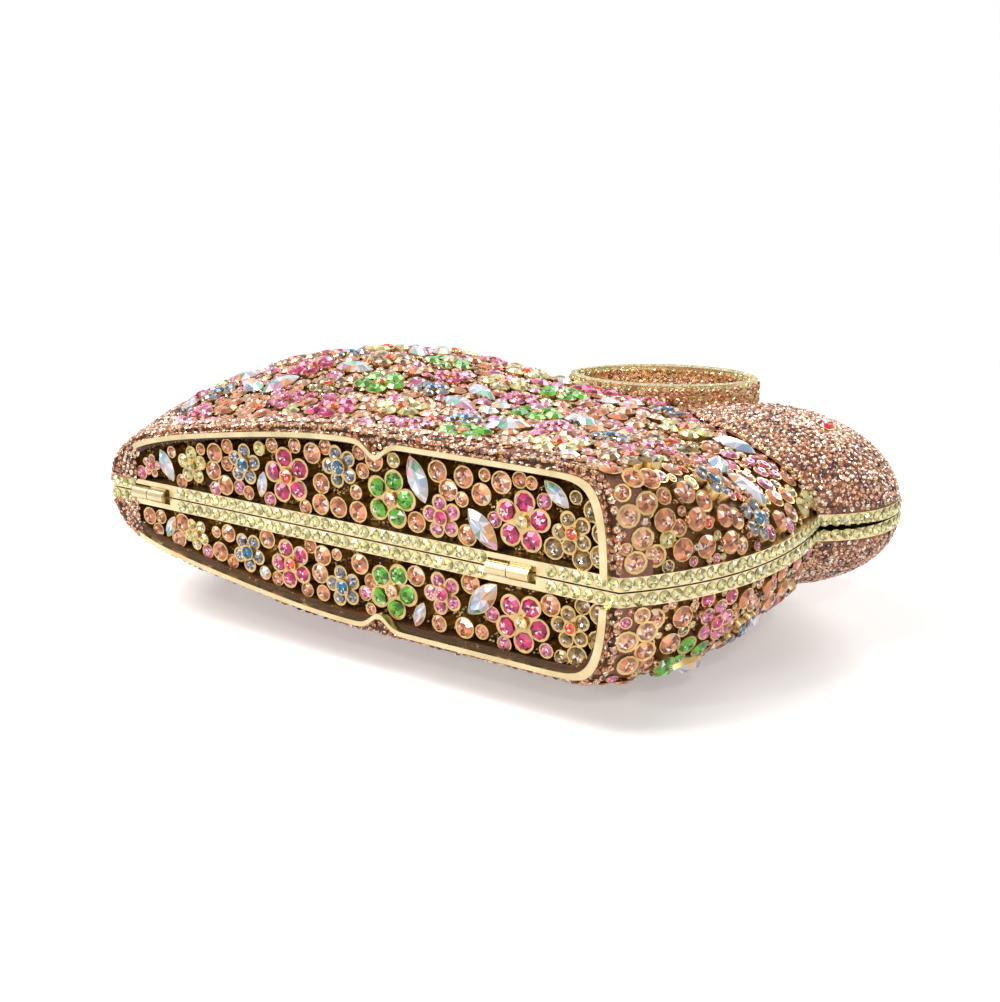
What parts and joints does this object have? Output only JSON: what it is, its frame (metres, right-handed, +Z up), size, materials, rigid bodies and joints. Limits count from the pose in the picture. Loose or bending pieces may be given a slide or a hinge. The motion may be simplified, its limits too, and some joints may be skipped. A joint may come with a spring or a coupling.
{
  "type": "minaudiere",
  "caption": "Hard evening clutch shaped as a crouching rabbit: two hinged halves with openwork flower skins, stone-set rims, a laid-back ear, a magnet closure and a lined hollow.",
  "frame": {"origin": "middle of the small flat on the rear half that the case lies on", "axes": "+X along the hinges from tail to nose, +Y from the base to the back, +Z up from the rear half to the front half"},
  "size_m": [0.1604, 0.1012, 0.0519],
  "materials": {
    "flower_openwork": "gold-plated cups set with stones of many colours",
    "granular_floor": "dark brown ground with gold grains",
    "polished_gold": "polished pale gold plating",
    "pave_head": "closely set small peach stones on gold plating",
    "rim_stone": "foiled pale yellow cut stones",
    "eye_stone": "foiled red cut stone",
    "lining": "fine-grained pale gold leather",
    "magnet_steel": "nickel-plated magnet"
  },
  "bodies": {
    "rear_half": {"rear_openwork": "flower_openwork", "rear_shell": "granular_floor", "rear_lining": "lining", "rear_head": "pave_head", "rear_ear": "polished_gold", "rear_eye": "eye_stone", "rear_base_lip": "polished_gold", "rear_base_panel": "flower_openwork", "rear_frame": "polished_gold", "rear_rim_stones": "rim_stone", "rear_magnet": "magnet_steel", "left_hinge_rear_knuckle": "polished_gold", "right_hinge_rear_knuckle": "polished_gold", "left_hinge_pin": "polished_gold", "left_strap_loop": "polished_gold", "right_hinge_pin": "polished_gold", "right_strap_loop": "polished_gold"},
    "front_half": {"front_openwork": "flower_openwork", "front_shell": "granular_floor", "front_lining": "lining", "front_head": "pave_head", "front_ear": "polished_gold", "front_eye": "eye_stone", "front_base_lip": "polished_gold", "front_base_panel": "flower_openwork", "front_frame": "polished_gold", "front_rim_stones": "rim_stone", "front_magnet": "magnet_steel", "left_hinge_front_knuckle": "polished_gold", "right_hinge_front_knuckle": "polished_gold"}
  },
  "joints": [
    {"name": "lid_hinge", "type": "hinge", "parent": "rear_half", "child": "front_half", "pos_m": [0, -0.0463, 0.026], "axis": [1, 0, 0], "range_deg": [0, 100]}
  ]
}
